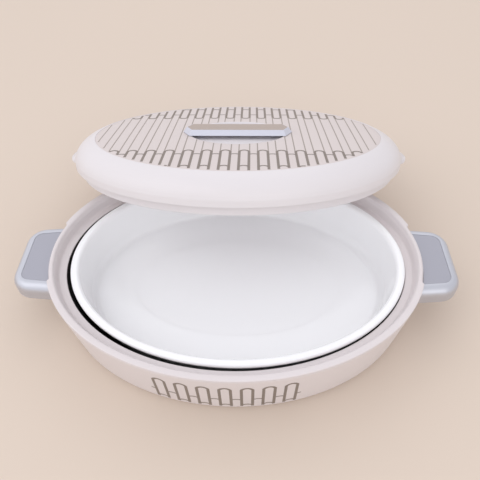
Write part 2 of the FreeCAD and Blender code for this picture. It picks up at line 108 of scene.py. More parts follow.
@dataclass(frozen=True)
class Oval:
    """An oval outline by its half length and half width, in millimetres."""

    half_length: float
    half_width: float
    centre_x: float = 0.0

    def at(self, angle: float, inset: float) -> Point:
        """The point at an angle on the oval drawn in by inset."""
        x = (self.half_length - inset) * math.cos(angle) + self.centre_x
        return x, (self.half_width - inset) * math.sin(angle)


RIM = Oval(190.0, 143.5)
DISH = Oval(170.5, 124.2, 1.9)
BRIM = Oval(187.0, 140.5)
PLATE = Oval(162.0, 118.4)
WELL = Oval(56.0, 42.0)


@dataclass(frozen=True)
class Shared:
    """Sizes that several pieces share, in millimetres."""

    rim_seam: float = 68.0
    rim_top: float = 70.5
    ledge: float = 57.5
    wall_turn: float = 5.2
    wall_lean_inset: float = 8.0
    bevel_low: float = 64.0
    bevel_inset: float = 3.2
    bevel_half_width: float = 38.0
    bevel_blend_width: float = 1.2
    lid_band: float = 8.4
    plate_edge: float = 28.4
    plate_crown: float = 1.8
    plate_sunk: float = 0.15
    bar_low: float = 30.35
    bar_thick: float = 5.6


SIZES = Shared()
LID_TILT = math.radians(19.0)
LID_REST = Vector((0.0, 137.7 * MM, 81.5 * MM))


def lid_matrix() -> Matrix:
    """Where the lid's own frame lies in the object's frame at rest."""
    return Matrix.Translation(LID_REST) @ Matrix.Rotation(-LID_TILT, 4, "X")


def angles(count: int = COLUMNS) -> list[float]:
    """The angles of evenly spaced points once round an oval."""
    return [2 * math.pi * k / count for k in range(count)]


def rounded(corners: list[Point3], steps: int = 5) -> list[Point]:
    """Rounds a closed profile.

    Args:
        corners: corners as (inset, height, radius) in order.
        steps: pieces that each rounded corner is drawn in.

    Returns:
        The profile's points, with an arc in place of each corner that has a radius.
    """
    out: list[Point] = []
    for i, (inset, height, radius) in enumerate(corners):
        corner = Vector((inset, height))
        before = Vector(corners[i - 1][:2]) - corner
        after = Vector(corners[(i + 1) % len(corners)][:2]) - corner
        if radius <= 0 or before.length < SHORTEST_SIDE or after.length < SHORTEST_SIDE:
            out.append((inset, height))
            continue
        half = before.angle(after) / 2
        reach = min(radius / math.tan(half), before.length * CORNER_SHARE, after.length * CORNER_SHARE)
        start = corner + before.normalized() * reach
        end = corner + after.normalized() * reach
        for k in range(steps + 1):
            share = k / steps
            spot = start * (1 - share) ** 2 + corner * (2 * share * (1 - share)) + end * share ** 2
            out.append((spot.x, spot.y))
    return out


def mesh_object(name: str, verts: list[Point3], faces: list[tuple[int, ...]],
                smooth: bool = True) -> bpy.types.Object:
    """Makes a mesh object at the origin, its faces turned outwards.

    Args:
        name: the piece's name.
        verts: its points in millimetres.
        faces: each face as the numbers of its points.
        smooth: whether its faces are shaded smooth.

    Returns:
        The piece.
    """
    mesh = bpy.data.meshes.new(name)
    mesh.from_pydata([tuple(c * MM for c in v) for v in verts], [], faces)
    bm = bmesh.new()
    bm.from_mesh(mesh)
    bmesh.ops.remove_doubles(bm, verts=bm.verts, dist=MERGE_METRES)
    bmesh.ops.recalc_face_normals(bm, faces=bm.faces)
    bm.to_mesh(mesh)
    bm.free()
    mesh.polygons.foreach_set("use_smooth", [smooth] * len(mesh.polygons))
    piece = bpy.data.objects.new(name, mesh)
    bpy.context.collection.objects.link(piece)
    return piece


def sharpen(piece: bpy.types.Object, degrees: float) -> None:
    """Keeps edges sharper than an angle crisp under smooth shading."""
    piece.data.set_sharp_from_angle(angle=math.radians(degrees))


def ring_faces(rows: int, closed: bool = True) -> list[tuple[int, ...]]:
    """Quads between neighbouring columns of points that stand once round an oval.

    Args:
        rows: how many points each column has.
        closed: whether a column's last point joins its first.

    Returns:
        The quads, by the numbers of their points.
    """
    faces: list[tuple[int, ...]] = []
    for column in range(COLUMNS):
        here = column * rows
        there = ((column + 1) % COLUMNS) * rows
        for row in range(rows if closed else rows - 1):
            after = (row + 1) % rows
            faces.append((here + row, there + row, there + after, here + after))
    return faces


def turned(name: str, outline: Oval, profile: list[Point],
           shift: Callable[[float, float, float], Point3] | None = None) -> bpy.types.Object:
    """A closed shell: a closed profile carried round an oval.

    Args:
        name: the piece's name.
        outline: the oval that insets are measured from.
        profile: closed profile of (inset, height).
        shift: takes (angle, inset, height) and returns them changed, for what varies round the oval.

    Returns:
        The piece.
    """
    verts: list[Point3] = []
    for angle in angles():
        for inset, height in profile:
            turn, inward, upward = shift(angle, inset, height) if shift else (angle, inset, height)
            verts.append((*outline.at(turn, inward), upward))
    return mesh_object(name, verts, ring_faces(len(profile)))


def oval_disc(name: str, outline: Oval, inset: float, low: float, high: float) -> bpy.types.Object:
    """A closed flat oval plate between two heights.

    Args:
        name: the piece's name.
        outline: the oval that the inset is measured from.
        inset: how far in the plate's edge lies.
        low: the height of its underside.
        high: the height of its top.

    Returns:
        The piece.
    """
    count = DISC_SIDES
    verts = [(*outline.at(angle, inset), z) for z in (low, high) for angle in angles(count)]
    faces = [tuple(range(count)), tuple(range(count, 2 * count))]
    faces += [(k, (k + 1) % count, count + (k + 1) % count, count + k) for k in range(count)]
    return mesh_object(name, verts, faces, smooth=False)


def dress(piece: bpy.types.Object, finish: bpy.types.Material) -> bpy.types.Object:
    """Gives a piece one material.

    Args:
        piece: the piece or carried-over node.
        finish: its material.

    Returns:
        The same piece.
    """
    piece.data.materials.clear()
    piece.data.materials.append(finish)
    return piece


def settle(piece: bpy.types.Object, body: Body, slot: Slot, *nodes: str) -> None:
    """Rides a piece on its body, hides the nodes it stands for, and reports it.

    Args:
        piece: the finished piece.
        body: the body that carries it.
        slot: not used.
        nodes: the nodes that it stands for, if any.
    """
    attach(piece, body.value)
    if nodes:
        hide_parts(*nodes)
    LOG.info("%s rides on %s with %d faces", piece.name, body.value, len(piece.data.polygons))


def onto_lid(piece: bpy.types.Object) -> bpy.types.Object:
    """Moves a mesh built in the lid's own frame to where the lid lies."""
    piece.data.transform(lid_matrix())
    return piece


def moulded_group() -> bpy.types.NodeTree:
    """A shader node group: fine moulded grain and a faint drift of tone.

    Returns:
        The group, which puts out Height for the bump and Drift for colour and roughness.
    """
    tree = bpy.data.node_groups.new("moulded_grain", "ShaderNodeTree")
    for label, value in (("Grain scale", 900.0), ("Drift scale", 9.0)):
        socket = tree.interface.new_socket(label, in_out="INPUT", socket_type="NodeSocketFloat")
        socket.default_value = value
    tree.interface.new_socket("Height", in_out="OUTPUT", socket_type="NodeSocketFloat")
    tree.interface.new_socket("Drift", in_out="OUTPUT", socket_type="NodeSocketFloat")
    source = tree.nodes.new("NodeGroupInput")
    sink = tree.nodes.new("NodeGroupOutput")
    place = tree.nodes.new("ShaderNodeTexCoord")
    for label, output, detail in (("Grain scale", "Height", 2.0), ("Drift scale", "Drift", 4.0)):
        noise = tree.nodes.new("ShaderNodeTexNoise")
        noise.inputs["Detail"].default_value = detail
        tree.links.new(place.outputs["Object"], noise.inputs["Vector"])
        tree.links.new(source.outputs[label], noise.inputs["Scale"])
        tree.links.new(noise.outputs["Fac"], sink.inputs[output])
    return tree


# The Mix node has sockets of the same name for each type, so its colour ones go by number.
MIX_FACTOR = 0
MIX_FIRST = 6
MIX_SECOND = 7
MIX_RESULT = 2


@dataclass(frozen=True)
class Finish:
    """A moulded, glazed or metallised finish, whose tone drifts between two colours."""

    name: str
    colour: Colour
    deep: Colour
    roughness: float
    roughness_spread: float = 0.05
    metallic: float = 0.0
    coat: float = 0.0
    bump: float = 0.02
    grain: float = 900.0
    drift_low: float = 0.3
    drift_high: float = 0.7
    bump_metres: float = 0.0002
    coat_roughness: float = 0.06

    def build(self, group: bpy.types.NodeTree) -> bpy.types.Material:
        """Makes the material.

        Args:
            group: the shared grain and drift, which feed its tone, roughness and bump.

        Returns:
            The material.
        """
        material = bpy.data.materials.new(self.name)
        material.use_nodes = True
        nodes = material.node_tree.nodes
        links = material.node_tree.links
        shader = nodes["Principled BSDF"]
        texture = nodes.new("ShaderNodeGroup")
        texture.node_tree = group
        texture.inputs["Grain scale"].default_value = self.grain
        mix = nodes.new("ShaderNodeMix")
        mix.data_type = "RGBA"
        mix.inputs[MIX_FIRST].default_value = (*self.deep, 1.0)
        mix.inputs[MIX_SECOND].default_value = (*self.colour, 1.0)
        spread = nodes.new("ShaderNodeMapRange")
        spread.inputs["From Min"].default_value = self.drift_low
        spread.inputs["From Max"].default_value = self.drift_high
        spread.inputs["To Min"].default_value = self.roughness - self.roughness_spread
        spread.inputs["To Max"].default_value = self.roughness + self.roughness_spread
        bump = nodes.new("ShaderNodeBump")
        bump.inputs["Strength"].default_value = self.bump
        bump.inputs["Distance"].default_value = self.bump_metres
        links.new(texture.outputs["Drift"], mix.inputs[MIX_FACTOR])
        links.new(mix.outputs[MIX_RESULT], shader.inputs["Base Color"])
        links.new(texture.outputs["Drift"], spread.inputs["Value"])
        links.new(spread.outputs["Result"], shader.inputs["Roughness"])
        links.new(texture.outputs["Height"], bump.inputs["Height"])
        links.new(bump.outputs["Normal"], shader.inputs["Normal"])
        shader.inputs["Metallic"].default_value = self.metallic
        shader.inputs["Coat Weight"].default_value = self.coat
        shader.inputs["Coat Roughness"].default_value = self.coat_roughness
        return material


FINISHES = {
    Look.CASING: Finish("cream_casing", (0.73, 0.675, 0.67), (0.70, 0.645, 0.64), 0.42, bump=0.12),
    Look.LINER: Finish("cream_rim", (0.71, 0.655, 0.655), (0.685, 0.63, 0.63), 0.40, bump=0.12),
    # Painted shade: near-black on the liner's inside and the cavity floor, for the shadow in the gap round
    # the dish; the liner itself is cream.
    Look.CAVITY: Finish("painted_cavity_shade", (0.02, 0.017, 0.015), (0.015, 0.012, 0.011), 0.55, bump=0.1),
    Look.LID: Finish("lid_cream", (0.735, 0.70, 0.71), (0.715, 0.68, 0.69), 0.38, bump=0.10),
    Look.PLATE: Finish("plate_cream", (0.68, 0.61, 0.59), (0.65, 0.58, 0.56), 0.5, bump=0.35, grain=1400.0),
    Look.ORNAMENT: Finish("taupe_print", (0.235, 0.195, 0.165), (0.20, 0.165, 0.14), 0.45),
    Look.LINE: Finish("fine_print", (0.34, 0.29, 0.255), (0.31, 0.26, 0.225), 0.45),
    Look.DISH: Finish("white_glaze", (0.925, 0.925, 0.935), (0.915, 0.915, 0.925), 0.18, 0.02, coat=0.25,
                      bump=0.05, grain=60.0),
    Look.SILVER: Finish("satin_silver", (0.60, 0.61, 0.66), (0.55, 0.56, 0.61), 0.38, metallic=0.8,
                        bump=0.03),
    # The grip bar's silver is the bar's own, made lighter and bluer than the handles' as a painted
    # reflection of the bright lamps on its bevels.
    Look.BAR: Finish("bar_silver_painted_reflection", (0.66, 0.67, 0.75), (0.63, 0.64, 0.72), 0.34, metallic=0.4, bump=0.03),
    # Painted reflection: taupe sheet on the chrome grip bar's top, for the warm surroundings that its
    # back-facing faces mirror.
    Look.BAR_INLAY: Finish("taupe_painted_reflection", (0.44, 0.365, 0.32), (0.42, 0.345, 0.30), 0.5, bump=0.1),
    Look.INLAY: Finish("silver_inlay", (0.42, 0.42, 0.47), (0.38, 0.38, 0.43), 0.42, metallic=0.55,
                       bump=0.05),
    Look.FOAM: Finish("rigid_foam", (0.75, 0.66, 0.42), (0.66, 0.57, 0.34), 0.9, bump=0.8, grain=500.0),
    Look.RUBBER: Finish("foot_rubber", (0.16, 0.15, 0.14), (0.12, 0.11, 0.10), 0.75, bump=0.3),
    Look.STEEL: Finish("plated_steel", (0.62, 0.61, 0.58), (0.55, 0.54, 0.5), 0.3, metallic=1.0, bump=0.1),
}
Looks = dict[Look, bpy.types.Material]


def bevelled(angle: float, inset: float, height: float) -> Point3:
    """Takes the finger bevel off the rim at both ends.

    Args:
        angle: where round the rim the point lies.
        inset: how far in from the rim it lies.
        height: its height.

    Returns:
        The same three, drawn in where the bevel cuts.
    """
    y = abs(RIM.at(angle, inset)[1])
    blend = SIZES.bevel_blend_width
    near = min(1.0, max(0.0, (SIZES.bevel_half_width + blend - y) / (2 * blend)))
    if height > SIZES.bevel_low and near > 0:
        limit = SIZES.bevel_inset * (height - SIZES.bevel_low) / (SIZES.rim_top - SIZES.bevel_low)
        if inset < limit:
            inset += (limit - inset) * near
    return angle, inset, height


@dataclass
class Casing:
    """The fixed lower half: wall, rim and liner, with insets measured from the rim's oval."""

    foot_low: float = 1.2
    wall: float = 2.6
    wall_steps: int = 12
    wall_gap: float = 0.15
    liner_wall: float = 2.2
    liner_gap: float = 0.12
    channel: float = 7.5
    ledge: float = 17.0
    floor: float = 10.2
    floor_reach: float = 40.0
    # How far in and how far below the ledge the liner's faces take the painted shade.
    shade_reach: float = 1.0015
    shade_drop: float = 5.0

    def wall_shell(self) -> bpy.types.Object:
        """The outside wall with its rounded foot.

        Returns:
            The piece, its slope divided so that the bevel can bend it.
        """
        lean = SIZES.wall_lean_inset
        top = SIZES.rim_seam - self.wall_gap
        profile = rounded([
            (lean + 7.0, self.foot_low, 0.0),
            (lean + 4.0, self.foot_low, 1.0),
            (lean, SIZES.wall_turn, 3.0),
            (0.0, top, 0.35),
            (self.wall, top, 0.0),
            (lean + self.wall, 7.0, 0.0),
            (lean + 20.0, 6.8, 0.0),
            (lean + 20.0, 4.4, 0.0),
            (lean + 7.0, 4.4, 0.0),
        ])
        high = next(i for i, point in enumerate(profile) if point[1] > SIZES.ledge)
        inset, height = profile[high - 1]
        rise = top - height
        steps = self.wall_steps
        climb = [(inset * (1 - k / steps), height + rise * k / steps) for k in range(1, steps)]
        return turned("casing_wall", RIM, profile[:high] + climb + profile[high:], bevelled)

    def rim_liner(self) -> bpy.types.Object:
        """The rolled bead, the lid's channel, the ledge and the cavity.

        Returns:
            The piece.
        """
        thick = self.liner_wall
        seam = SIZES.rim_seam + self.liner_gap
        floor_end = self.ledge + self.floor_reach
        profile = rounded([
            (0.0, seam, 0.3),
            (0.0, SIZES.rim_top, 2.3),
            (self.channel - 1.2, SIZES.rim_top, 2.6),
            (self.channel + 0.8, SIZES.rim_top - 5.0, 3.0),
            (self.channel + 2.4, SIZES.ledge, 3.0),
            (self.ledge, SIZES.ledge, 1.2),
            (self.ledge + 7.0, self.floor + 9.0, 6.0),
            (self.ledge + 16.0, self.floor, 6.0),
            (floor_end, self.floor, 0.0),
            (floor_end, self.floor - thick, 0.0),
            (self.ledge + 15.0, self.floor - thick, 6.0),
            (self.ledge + 7.0 - thick, self.floor + 9.0, 6.0),
            (self.ledge - thick, SIZES.ledge - thick, 1.0),
            (self.channel + 2.0 - thick, SIZES.ledge - thick, 1.0),
            (self.wall + 0.6, SIZES.rim_seam - 4.5, 0.5),
            (self.wall + 0.3, seam, 0.0),
        ])
        return turned("rim_liner", RIM, profile, bevelled)

    def cavity_floor(self) -> bpy.types.Object:
        """The flat middle of the cavity, under the dish."""
        inset = self.ledge + self.floor_reach - DISC_OVERLAP
        return oval_disc("cavity_floor", RIM, inset, self.floor - self.liner_wall, self.floor)

    def paint_cavity_shade(self, liner: bpy.types.Object, finish: bpy.types.Material) -> None:
        """Paints shade on the liner's faces inside and below the ledge: a near-black finish stands for the
        shadow deep in the gap round the dish.

        Args:
            liner: the liner.
            finish: the near-black material of painted shade.
        """
        liner.data.materials.append(finish)
        half_length = RIM.half_length - self.ledge
        half_width = RIM.half_width - self.ledge
        for face in liner.data.polygons:
            spot = face.center / MM
            inside = math.hypot(spot.x / half_length, spot.y / half_width)
            if inside < self.shade_reach and spot.z < SIZES.ledge - self.shade_drop:
                face.material_index = 1

    def build(self, looks: Looks) -> None:
        """Builds and dresses the casing's pieces.

        Args:
            looks: the materials.
        """
        wall = dress(self.wall_shell(), looks[Look.CASING])
        settle(wall, Body.CASING, Slot.CASING, "outer_casing")
        liner = dress(self.rim_liner(), looks[Look.LINER])
        self.paint_cavity_shade(liner, looks[Look.CAVITY])
        settle(liner, Body.CASING, Slot.CASING, "inner_liner")
        # The cavity floor under the dish takes the painted shade too.
        settle(dress(self.cavity_floor(), looks[Look.CAVITY]), Body.CASING, Slot.CASING)


@dataclass
class ServingDish:
    """The white glazed dish that lifts out, with insets measured from its own oval."""

    low: float = 10.5
    top: float = 61.0
    rim: float = 8.0
    rim_thick: float = 4.6
    floor_inset: float = 21.0
    floor_thick: float = 4.5
    middle: float = 60.0
    corner_steps: int = 8
    crisp_degrees: float = 45.0

    def bowl(self) -> bpy.types.Object:
        """The bowl with its rolled rim, open in the middle of its floor.

        Returns:
            The piece.
        """
        low, top, rim = self.low, self.top, self.rim
        floor_top = low + self.floor_thick
        profile = rounded([
            (self.middle, low, 0.0),
            (self.floor_inset - 1.0, low, 5.0),
            (rim + 3.5, low + 12.0, 14.0),
            (rim - 2.4, top - self.rim_thick, 1.2),
            (0.0, top - self.rim_thick, 2.0),
            (0.0, top, 3.2),
            (rim, top, 6.5),
            (rim + 6.0, low + 14.0, 20.0),
            (self.floor_inset - 4.0, floor_top, 9.0),
            (self.middle, floor_top, 0.0),
        ], steps=self.corner_steps)
        return turned("serving_bowl", DISH, profile)

    def build(self, looks: Looks) -> None:
        """Builds and dresses the bowl and the middle of its floor.

        Args:
            looks: the materials.
        """
        bowl = dress(self.bowl(), looks[Look.DISH])
        inset = self.middle - DISC_OVERLAP
        floor = oval_disc("bowl_floor", DISH, inset, self.low, self.low + self.floor_thick)
        dress(floor, looks[Look.DISH])
        sharpen(bowl, self.crisp_degrees)
        settle(bowl, Body.DISH, Slot.GLAZE, "serving_dish")
        settle(floor, Body.DISH, Slot.GLAZE)


def crown(x: float, y: float) -> float:
    """The plate's height in the lid's frame at a point."""
    reach = math.hypot(x / PLATE.half_length, y / PLATE.half_width)
    return SIZES.plate_edge + SIZES.plate_crown * (1.0 - min(1.0, reach) ** 2) - SIZES.plate_sunk


@dataclass
class Lid:
    """The domed lid, in its own frame: origin in the middle of the brim's underside.

    Lengths are in millimetres. The crease and the lip are shares of the way from the brim to the plate.
    """

    crease: float = 0.018
    dome_degrees: float = 78.0
    dome_flat: float = 0.3
    dome_steps: int = 24
    lip: float = 1.02
    plate_overlap: float = 0.5
    tab_half: float = 20.0
    tab_reach: float = 8.0
    tab_spread: float = 1.15
    tab_power: float = 0.6
    tab_fade: tuple[float, ...] = (1.0, 1.0, 1.0, 0.85, 0.5, 0.18, 0.05)
    plate_skirt: float = 2.3
    plate_steps: int = 14
    plate_round: float = 0.5
    well: tuple[Point, ...] = ((0.5, 0.15), (1.2, 0.7), (3.0, 3.6), (6.0, 8.0), (10.0, 11.6), (16.0, 13.4),
                               (26.0, 13.9))
    # The six-sided sheet of painted reflection on the grip bar's top.
    reflection_tip: float = 57.2
    reflection_corner: float = 51.6
    reflection_half_width: float = 10.9
    reflection_thick: float = 0.25
    reflection_sunk: float = 0.05
    reflection_taper: Point = (0.996, 0.98)
    shell_crisp_degrees: float = 50.0
    plate_crisp_degrees: float = 35.0

    def curve(self, share: float) -> Point:
        """The dome's section: an arc from the crease to the plate, flattened a little.

        Args:
            share: how far along the section, from 0 to 1.

        Returns:
            How far in and how far up the section is there, each from 0 to 1.
        """
        turn = math.radians(self.dome_degrees)
        flat = self.dome_flat
        inward = (1 - flat) * (1 - math.cos(share * turn)) / (1 - math.cos(turn))
        upward = (1 - flat) * math.sin(share * turn) / math.sin(turn)
        return flat * share + inward, flat * share + upward

    def profile(self) -> list[Point]:
        """The shell's closed profile.

        Returns:
            Points of (share of the way from the brim to the plate, height).
        """
        brim = [(0.0, 0.0), (0.0, 0.5), (0.002, 1.6), (0.002, 2.8), (0.003, 3.4), (0.004, 5.6), (0.008, 7.7),
                (self.crease, 8.2)]
        dome = []
        for k in range(1, self.dome_steps + 1):
            inward, upward = self.curve(k / self.dome_steps)
            height = SIZES.lid_band + upward * (SIZES.plate_edge - SIZES.lid_band)
            dome.append((self.crease + (1 - self.crease) * inward, height))
        top = SIZES.plate_edge
        edge = [(1.012, top), (self.lip, top - 0.4), (self.lip, top - 2.4)]
        inner = [(self.lip, 23.0), (0.5, 19.0), (0.2, 12.0), (0.12, 5.0), (0.11, 0.3), (0.10, 0.0)]
        return brim + dome + edge + inner

    def tab(self, x: float, y: float) -> float:
        """How far a finger tab stands out at a point of the brim.

        Args:
            x: the point's place along the length.
            y: the point's place along the width.

        Returns:
            The distance along X, away from the middle.
        """
        share = abs(y) / self.tab_half
        if share >= self.tab_spread:
            return 0.0
        swell = math.cos(min(1.0, share / self.tab_spread) * math.pi / 2) ** self.tab_power
        return math.copysign(self.tab_reach * swell, x)

    def shell(self) -> bpy.types.Object:
        """The domed cover with its two finger tabs.

        Returns:
            The piece, in the lid's frame.
        """
        verts: list[Point3] = []
        profile = self.profile()
        for angle in angles():
            low = BRIM.at(angle, 0.0)
            high = PLATE.at(angle, -self.plate_overlap)
            for row, (share, height) in enumerate(profile):
                x = low[0] + (high[0] - low[0]) * share
                y = low[1] + (high[1] - low[1]) * share
                if row < len(self.tab_fade):
                    x += self.tab(x, y) * self.tab_fade[row]
                verts.append((x, y, height))
        return mesh_object("lid_dome", verts, ring_faces(len(profile)))

    def plate(self) -> bpy.types.Object:
        """The crowned plate, carried down as the finger well in its middle.

        Returns:
            The piece, in the lid's frame.
        """
        verts: list[Point3] = []
        for angle in angles():
            out_x, out_y = PLATE.at(angle, 0.0)
            in_x, in_y = WELL.at(angle, 0.0)
            for drop in (self.plate_skirt, self.plate_round):
                verts.append((out_x, out_y, SIZES.plate_edge - drop))
            for step in range(self.plate_steps + 1):
                share = step / self.plate_steps
                x = out_x + (in_x - out_x) * share
                y = out_y + (in_y - out_y) * share
                pull = 1 - self.plate_round / PLATE.half_width if step == 0 else 1.0
                verts.append((x * pull, y * pull, crown(x, y)))
            rim = crown(in_x, in_y)
            verts += [(*WELL.at(angle, inset), rim - drop) for inset, drop in self.well]
        rows = len(verts) // COLUMNS
        faces = ring_faces(rows, closed=False)
        for row in (rows - 1, 0):
            faces.append(tuple(column * rows + row for column in range(COLUMNS)))
        return mesh_object("lid_plate", verts, faces)

    def line_well(self, plate: bpy.types.Object, finish: bpy.types.Material) -> None:
        """Gives the plate's faces inside the finger well a finish of their own.

        Args:
            plate: the plate, where the lid lies.
            finish: the well's material.
        """
        plate.data.materials.append(finish)
        inverse = lid_matrix().inverted()
        for face in plate.data.polygons:
            spot = inverse @ face.center
            if math.hypot(spot.x / (WELL.half_length * MM), spot.y / (WELL.half_width * MM)) < 1.0:
                face.material_index = 1

    def grip_reflection_sheet(self) -> bpy.types.Object:
        """A thin six-sided sheet on the top of the grip bar: painted reflection of the warm surroundings
        that the bar's top mirrors.

        Returns:
            The piece, in the lid's frame.
        """
        tip, corner, half = self.reflection_tip, self.reflection_corner, self.reflection_half_width
        corners = [(tip, 0.0), (corner, half), (-corner, half),
                   (-tip, 0.0), (-corner, -half), (corner, -half)]
        top = SIZES.bar_low + SIZES.bar_thick
        along, across = self.reflection_taper
        count = len(corners)
        verts = [(x, y, top - self.reflection_sunk) for x, y in corners]
        verts += [(x * along, y * across, top + self.reflection_thick) for x, y in corners]
        faces = [tuple(range(count)), tuple(range(count, 2 * count))]
        faces += [(k, (k + 1) % count, count + (k + 1) % count, count + k) for k in range(count)]
        return mesh_object("grip_reflection_sheet", verts, faces, smooth=False)

    def build(self, looks: Looks) -> None:
        """Builds and dresses the lid's pieces.

        Args:
            looks: the materials.
        """
        # The taupe sheet on the bar's top is painted reflection.
        inlay = onto_lid(dress(self.grip_reflection_sheet(), looks[Look.BAR_INLAY]))
        settle(inlay, Body.LID, Slot.METALLISED)
        shell = onto_lid(dress(self.shell(), looks[Look.LID]))
        sharpen(shell, self.shell_crisp_degrees)
        settle(shell, Body.LID, Slot.LID, "lid_outer_shell")
        plate = onto_lid(dress(self.plate(), looks[Look.PLATE]))
        self.line_well(plate, looks[Look.LID])
        sharpen(plate, self.plate_crisp_degrees)
        settle(plate, Body.LID, Slot.LID, "lid_pattern_plate", "lid_grip_pocket")


@dataclass(frozen=True)
class Arch:
    """A shallow arch of the ornament: where its feet are, how far it rises and how wide its line is."""

    foot: float
    rise: float
    width: float


@dataclass(frozen=True)
class Stroke:
    """One drawn line of the ornament: its path and its width."""

    path: tuple[Point, ...]
    width: float


def ribbon(stroke: Stroke) -> tuple[list[Point3], list[tuple[int, ...]]]:
    """A flat strip along a stroke.

    Args:
        stroke: the stroke.

    Returns:
        The strip's points, at height zero, and its faces.
    """
    path = stroke.path
    verts: list[Point3] = []
    for i, (x, y) in enumerate(path):
        ahead = path[min(i + 1, len(path) - 1)]
        behind = path[max(i - 1, 0)]
        along = Vector((ahead[0] - behind[0], ahead[1] - behind[1])).normalized()
        side = Vector((-along.y, along.x)) * stroke.width / 2
        verts += [(x + side.x, y + side.y, 0.0), (x - side.x, y - side.y, 0.0)]
    faces = [(2 * i, 2 * i + 1, 2 * i + 3, 2 * i + 2) for i in range(len(path) - 1)]
    return verts, faces


def straight(start: Point, end: Point, step: float = 0.8) -> tuple[Point, ...]:
    """Points along a straight line, close enough together to bend over a surface.

    Args:
        start: the line's first point.
        end: its last point.
        step: about how far apart the points are.

    Returns:
        The points.
    """
    count = max(2, int(math.hypot(end[0] - start[0], end[1] - start[1]) / step))
    return tuple((start[0] + (end[0] - start[0]) * k / count, start[1] + (end[1] - start[1]) * k / count)
                 for k in range(count + 1))


def bow(half: float, arch: Arch, steps: int = 16, power: float = 2.2) -> tuple[Point, ...]:
    """The path of an arch across a tile, from side to side.

    Args:
        half: half of its span.
        arch: its feet and its rise.
        steps: pieces that it is drawn in.
        power: how flat its top is.

    Returns:
        The points.
    """
    spots = [half * math.sin(math.pi * (k / steps - 0.5)) for k in range(steps + 1)]
    return tuple((x, arch.foot + arch.rise * (1 - (abs(x) / half) ** power)) for x in spots)


def repeat_tree(material: bpy.types.Material) -> bpy.types.NodeTree:
    """A geometry node tree that sets a motif out in a row.

    Args:
        material: the print.

    Returns:
        The tree, whose inputs are the motif, its count, its pitch and its first place.
    """
    tree = bpy.data.node_groups.new("row_of_" + material.name, "GeometryNodeTree")
    face = tree.interface
    for label, kind in (("Motif", "Geometry"), ("Count", "Int"), ("Pitch", "Float"), ("First", "Float")):
        face.new_socket(label, in_out="INPUT", socket_type="NodeSocket" + kind)
    face.new_socket("Row", in_out="OUTPUT", socket_type="NodeSocketGeometry")
    source = tree.nodes.new("NodeGroupInput")
    sink = tree.nodes.new("NodeGroupOutput")
    line = tree.nodes.new("GeometryNodeMeshLine")
    start = tree.nodes.new("ShaderNodeCombineXYZ")
    step = tree.nodes.new("ShaderNodeCombineXYZ")
    spread = tree.nodes.new("GeometryNodeInstanceOnPoints")
    real = tree.nodes.new("GeometryNodeRealizeInstances")
    paint = tree.nodes.new("GeometryNodeSetMaterial")
    paint.inputs["Material"].default_value = material
    links = tree.links
    links.new(source.outputs["Count"], line.inputs["Count"])
    links.new(source.outputs["First"], start.inputs["X"])
    links.new(source.outputs["Pitch"], step.inputs["X"])
    links.new(start.outputs["Vector"], line.inputs["Start Location"])
    links.new(step.outputs["Vector"], line.inputs["Offset"])
    links.new(line.outputs["Mesh"], spread.inputs["Points"])
    links.new(source.outputs["Motif"], spread.inputs["Instance"])
    links.new(spread.outputs["Instances"], real.inputs["Geometry"])
    links.new(real.outputs["Geometry"], paint.inputs["Geometry"])
    links.new(paint.outputs["Geometry"], sink.inputs["Row"])
    return tree


def row_of(name: str, strokes: list[Stroke], count: int, pitch: float, first: float,
           material: bpy.types.Material) -> list[list[Point]]:
    """Draws a motif once and sets it out in a row with geometry nodes.

    Args:
        name: the name of the scratch object.
        strokes: the motif's strokes, centred on x = 0, in millimetres.
        count: how many motifs the row has.
        pitch: from one motif to the next.
        first: where the first motif's centre is.
        material: the print.

    Returns:
        The row's faces, each a list of (x, y) corners in millimetres.
    """
    verts: list[Point3] = []
    faces: list[tuple[int, ...]] = []
    for stroke in strokes:
        points, quads = ribbon(stroke)
        faces += [tuple(i + len(verts) for i in quad) for quad in quads]
        verts += points
    mesh = bpy.data.meshes.new(name)
    mesh.from_pydata(verts, [], faces)
    motif = bpy.data.objects.new(name, mesh)
    bpy.context.collection.objects.link(motif)
    modifier = motif.modifiers.new("Row", "NODES")
    modifier.node_group = repeat_tree(material)
    sockets = {item.name: item.identifier for item in modifier.node_group.interface.items_tree}
    modifier[sockets["Count"]] = count
    modifier[sockets["Pitch"]] = pitch
    modifier[sockets["First"]] = first
    evaluated = motif.evaluated_get(bpy.context.evaluated_depsgraph_get())
    row = bpy.data.meshes.new_from_object(evaluated)
    out = [[tuple(row.vertices[i].co[:2]) for i in face.vertices] for face in row.polygons]
    bpy.data.objects.remove(motif)
    return out


